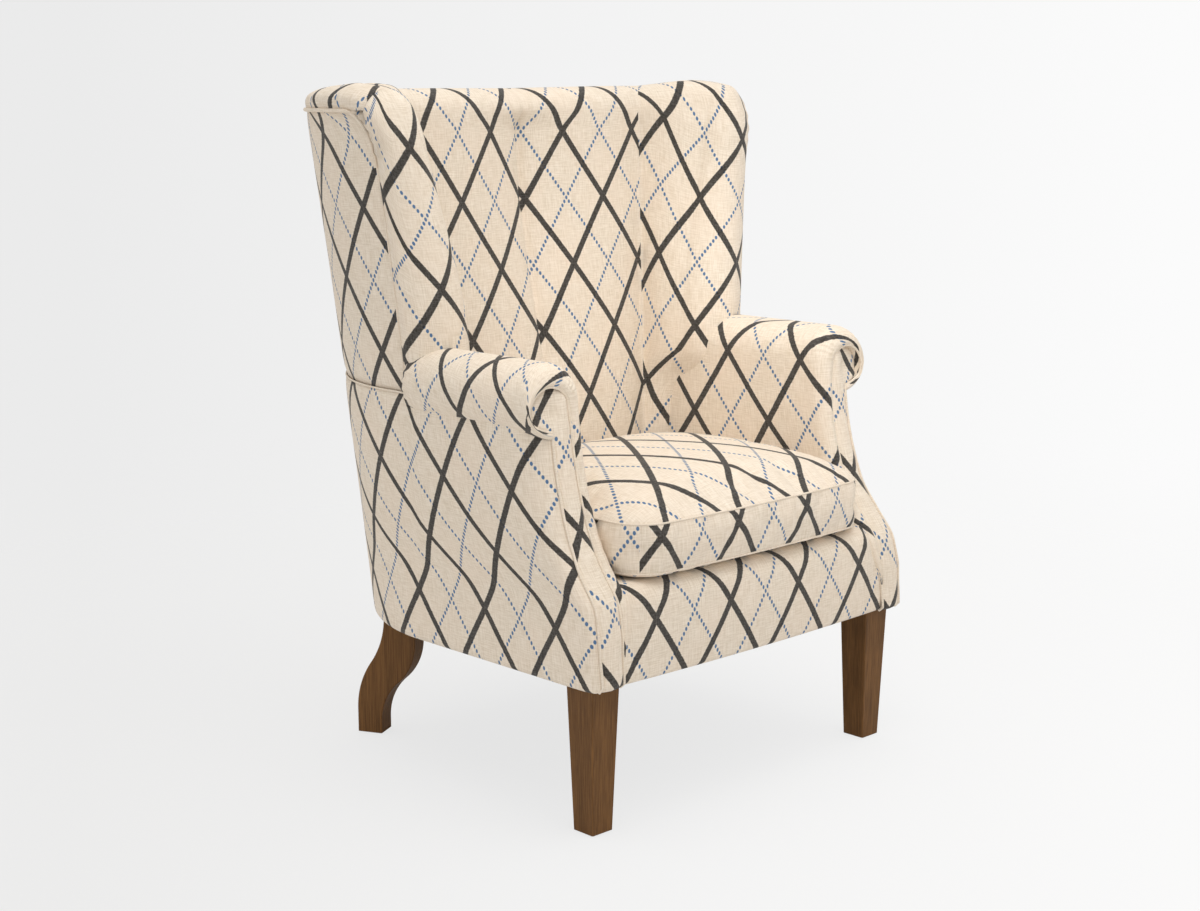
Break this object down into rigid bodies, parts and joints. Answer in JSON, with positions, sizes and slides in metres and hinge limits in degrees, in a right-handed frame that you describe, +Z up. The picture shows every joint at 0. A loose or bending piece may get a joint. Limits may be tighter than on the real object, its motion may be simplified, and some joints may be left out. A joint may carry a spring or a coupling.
{
  "type": "upholstered wing chair",
  "caption": "Barrel-back wing armchair in patterned linen with scroll arms, a loose box seat cushion, tapered front legs and swept rear legs.",
  "frame": {"origin": "on the floor under the middle of the chair's bounding box", "axes": "+Z up; the chair faces -Y; +X to the right of someone standing in front of it"},
  "size_m": [0.796, 0.7148, 1.0436],
  "materials": {
    "linen": "cream slubby linen with a woven lattice",
    "stained_wood": "brown stain, satin",
    "frame_wood": "bare sawn hardwood and ply",
    "steel": "zinc plated",
    "nylon": "moulded nylon",
    "webbing": "jute",
    "foam": "foam with fibre wrap",
    "dust_cloth": "non-woven cambric",
    "deck_cloth": "plain cotton"
  },
  "bodies": {
    "chair": {"arm_facing_left": "linen", "arm_facing_right": "linen", "arm_pad_left": "linen", "arm_pad_right": "linen", "arm_rail_left": "frame_wood", "arm_rail_right": "frame_wood", "arm_stump_left": "frame_wood", "arm_stump_right": "frame_wood", "back_burlap": "webbing", "back_post_left": "frame_wood", "back_post_right": "frame_wood", "back_webbing": "webbing", "corner_blocks": "frame_wood", "crest_former": "frame_wood", "crest_rail": "frame_wood", "crest_ties": "frame_wood", "curved_base_rail": "frame_wood", "deck_cover": "deck_cloth", "deck_pad": "foam", "dust_cover": "dust_cloth", "front_border": "linen", "front_edge_roll": "foam", "front_glide_left": "nylon", "front_glide_right": "nylon", "front_leg_left": "stained_wood", "front_leg_right": "stained_wood", "front_seat_rail": "frame_wood", "inside_back": "linen", "leg_bolts": "steel", "outside_arm_left": "linen", "outside_arm_right": "linen", "outside_back": "linen", "outside_back_slats": "frame_wood", "outside_wing_left": "linen", "outside_wing_right": "linen", "rear_glide_left": "nylon", "rear_glide_right": "nylon", "rear_leg_left": "stained_wood", "rear_leg_right": "stained_wood", "rear_seat_rail": "frame_wood", "seat_webbing": "webbing", "side_seat_rail_left": "frame_wood", "side_seat_rail_right": "frame_wood", "stay_rail": "frame_wood", "top_border": "linen", "wing_pad_left": "linen", "wing_pad_right": "linen", "wing_top_rail_left": "frame_wood", "wing_top_rail_right": "frame_wood", "wing_upright_left": "frame_wood", "wing_upright_right": "frame_wood"},
    "cushion": {"cushion_bottom_panel": "linen", "cushion_boxing": "linen", "cushion_core": "foam", "cushion_top_panel": "linen", "cushion_zip": "nylon"}
  },
  "joints": [
    {"name": "cushion_lift_out", "type": "slide", "parent": "chair", "child": "cushion", "axis": [0, -0.9397, 0.342], "range_m": [0, 0.6]}
  ]
}
